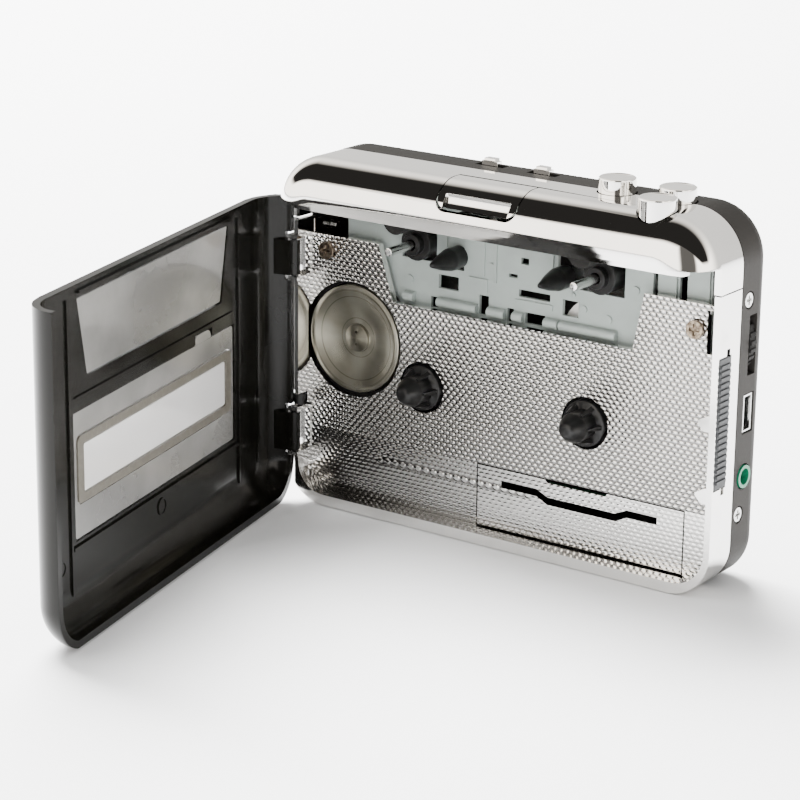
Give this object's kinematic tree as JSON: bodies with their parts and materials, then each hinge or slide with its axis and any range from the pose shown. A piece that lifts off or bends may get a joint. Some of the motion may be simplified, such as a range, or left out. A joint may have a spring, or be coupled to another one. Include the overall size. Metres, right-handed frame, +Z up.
{
  "type": "portable cassette player",
  "caption": "Pocket cassette player standing on its long edge, door open 76 degrees, with pebbled chrome cassette floor, reel spindles, capstans, top keys, latch and side sockets.",
  "frame": {"origin": "middle of the bottom face, in the plane of the cassette floor", "axes": "+X along the body towards the sockets, +Y from the door to the back, +Z up; the door is stored open"},
  "size_m": [0.1162, 0.1263, 0.0845],
  "materials": {
    "mirror_chrome": "mirror-bright plating on a moulded cover",
    "pebbled_chrome": "bright plating over a fine pebble texture",
    "rear_grey": "fine matt texture",
    "ribbed_grey": "satin, ribbed",
    "gloss_black": "high gloss black",
    "lens_grey": "glossy tinted lens",
    "lens_olive": "satin tinted frame",
    "lens_clear": "clear plastic window",
    "bright_steel": "bright turned steel",
    "spring_steel": "plated spring wire",
    "zinc_plate": "dull zinc plating, grey-green",
    "motor_metal": "satin nickel with a brass tint",
    "black_plastic": "smooth moulded black",
    "black_rubber": "dull black",
    "green_plastic": "smooth moulded green",
    "board_green": "lacquered board",
    "white_plastic": "smooth moulded white"
  },
  "bodies": {
    "body": {"top_cover": "mirror_chrome", "cassette_frame": "pebbled_chrome", "rear_shell": "rear_grey", "grip_strip": "ribbed_grey", "latch_spring": "spring_steel", "hinge_pin_lower": "bright_steel", "hinge_pin_upper": "bright_steel", "hinge_spring": "spring_steel", "play_key_spring": "spring_steel", "forward_key_spring": "spring_steel", "stop_key_spring": "spring_steel", "usb_socket": "bright_steel", "jack_socket": "green_plastic", "mechanism_plate": "zinc_plate", "capstan_bush_left": "black_plastic", "capstan_bush_right": "black_plastic", "cassette_guide_left": "black_plastic", "cassette_guide_right": "black_plastic", "motor_can": "motor_metal", "motor_seat_ring": "black_rubber", "drive_belt": "black_rubber", "cassette_spring_upper": "mirror_chrome", "cassette_spring_lower": "mirror_chrome", "battery_contact_left": "spring_steel", "battery_contact_right": "spring_steel", "circuit_board": "board_green", "side_screw_right_upper": "bright_steel", "side_screw_right_lower": "bright_steel", "side_screw_left_upper": "bright_steel", "side_screw_left_lower": "bright_steel", "floor_screw_left": "bright_steel", "floor_screw_right": "bright_steel"},
    "door": {"door_shell": "gloss_black", "door_upper_lens": "lens_grey", "door_middle_lens": "lens_grey", "door_lens_ring": "lens_olive", "door_label_window": "lens_clear"},
    "battery_cover": {"battery_cover": "pebbled_chrome"},
    "latch": {"latch_button": "mirror_chrome"},
    "play_key": {"play_key": "mirror_chrome"},
    "forward_key": {"forward_key": "mirror_chrome"},
    "stop_key": {"stop_key": "mirror_chrome"},
    "mode_switch": {"mode_switch": "mirror_chrome"},
    "tape_type_switch": {"tape_type_switch": "mirror_chrome"},
    "volume_wheel": {"volume_wheel": "black_plastic"},
    "capstan_left": {"capstan_left": "bright_steel", "flywheel_left": "bright_steel"},
    "capstan_right": {"capstan_right": "bright_steel", "flywheel_right": "bright_steel"},
    "motor_pulley": {"motor_pulley": "black_plastic"},
    "reel_left": {"reel_spindle_left": "black_plastic"},
    "reel_right": {"reel_spindle_right": "black_plastic"},
    "idler_wheel": {"idler_wheel": "white_plastic"},
    "head_carriage": {"head_carriage": "zinc_plate", "tape_head": "bright_steel"},
    "pinch_arm_left": {"pinch_arm_left": "zinc_plate"},
    "pinch_arm_right": {"pinch_arm_right": "zinc_plate"},
    "pinch_roller_left": {"pinch_roller_left": "black_rubber"},
    "pinch_roller_right": {"pinch_roller_right": "black_rubber"}
  },
  "joints": [
    {"name": "door_hinge", "type": "hinge", "parent": "body", "child": "door", "pos_m": [-0.0537, -0.0043, 0], "axis": [0, 0, 1], "range_deg": [0, 76], "stiffness_Nm_per_rad": 0.002, "springref_deg": -8.59},
    {"name": "battery_cover_hinge", "type": "hinge", "parent": "body", "child": "battery_cover", "pos_m": [0.0202, 0.0008, 0.0037], "axis": [-1, 0, 0], "range_deg": [-90, 0]},
    {"name": "latch_press", "type": "slide", "parent": "body", "child": "latch", "axis": [0, 0.7071, -0.7071], "range_m": [0, 0.0005], "stiffness_N_per_m": 1200, "springref_m": -0.0004},
    {"name": "play_key_press", "type": "slide", "parent": "body", "child": "play_key", "axis": [0, 0, -1], "range_m": [0, 0.002], "stiffness_N_per_m": 900, "springref_m": -0.0006, "deforming": ["play_key_spring"]},
    {"name": "forward_key_press", "type": "slide", "parent": "body", "child": "forward_key", "axis": [0, 0, -1], "range_m": [0, 0.002], "stiffness_N_per_m": 900, "springref_m": -0.0006, "deforming": ["forward_key_spring"]},
    {"name": "stop_key_press", "type": "slide", "parent": "body", "child": "stop_key", "axis": [0, 0, -1], "range_m": [0, 0.002], "stiffness_N_per_m": 900, "springref_m": -0.0006, "deforming": ["stop_key_spring"]},
    {"name": "mode_switch_slide", "type": "slide", "parent": "body", "child": "mode_switch", "axis": [1, 0, 0], "range_m": [-0.0015, 0.0015]},
    {"name": "tape_type_switch_slide", "type": "slide", "parent": "body", "child": "tape_type_switch", "axis": [1, 0, 0], "range_m": [-0.0015, 0.0015]},
    {"name": "volume_wheel_turn", "type": "hinge", "parent": "body", "child": "volume_wheel", "pos_m": [0.0476, 0.0093, 0.0525], "axis": [0, 1, 0], "range_deg": [-130, 130]},
    {"name": "capstan_left_spin", "type": "hinge", "parent": "body", "child": "capstan_left", "pos_m": [-0.0236, 0, 0.0635], "axis": [0, 1, 0], "continuous": true},
    {"name": "capstan_right_spin", "type": "hinge", "parent": "body", "child": "capstan_right", "pos_m": [0.0236, 0, 0.0635], "axis": [0, 1, 0], "continuous": true},
    {"name": "motor_spin", "type": "hinge", "parent": "body", "child": "motor_pulley", "pos_m": [-0.0404, 0, 0.0389], "axis": [0, 1, 0], "continuous": true},
    {"name": "reel_left_spin", "type": "hinge", "parent": "body", "child": "reel_left", "pos_m": [-0.02125, 0, 0.0312], "axis": [0, 1, 0], "continuous": true},
    {"name": "idler_wheel_spin", "type": "hinge", "parent": "body", "child": "idler_wheel", "pos_m": [0.02125, 0, 0.0482], "axis": [0, 1, 0], "continuous": true},
    {"name": "reel_right_spin", "type": "hinge", "parent": "body", "child": "reel_right", "pos_m": [0.02125, 0, 0.0312], "axis": [0, 1, 0], "continuous": true},
    {"name": "head_carriage_slide", "type": "slide", "parent": "body", "child": "head_carriage", "axis": [0, 0, -1], "range_m": [0, 0.0032], "stiffness_N_per_m": 250, "springref_m": -0.004},
    {"name": "pinch_arm_left_swing", "type": "hinge", "parent": "body", "child": "pinch_arm_left", "pos_m": [-0.033, 0, 0.0712], "axis": [0, 1, 0], "range_deg": [0, 14]},
    {"name": "pinch_arm_right_swing", "type": "hinge", "parent": "body", "child": "pinch_arm_right", "pos_m": [0.033, 0, 0.0712], "axis": [0, -1, 0], "range_deg": [0, 14]},
    {"name": "pinch_roller_left_spin", "type": "hinge", "parent": "pinch_arm_left", "child": "pinch_roller_left", "pos_m": [-0.0236, 0, 0.0701], "axis": [0, 1, 0], "continuous": true},
    {"name": "pinch_roller_right_spin", "type": "hinge", "parent": "pinch_arm_right", "child": "pinch_roller_right", "pos_m": [0.0236, 0, 0.0701], "axis": [0, 1, 0], "continuous": true}
  ],
  "couplings": [
    {"joint": "motor_spin", "follows": "capstan_left_spin", "ratio": 5},
    {"joint": "capstan_right_spin", "follows": "capstan_left_spin", "ratio": 1},
    {"joint": "reel_right_spin", "follows": "idler_wheel_spin", "ratio": -1.2877},
    {"joint": "pinch_arm_left_swing", "follows": "head_carriage_slide", "rad_per_m": 76.348},
    {"joint": "pinch_arm_right_swing", "follows": "head_carriage_slide", "rad_per_m": 76.348}
  ]
}
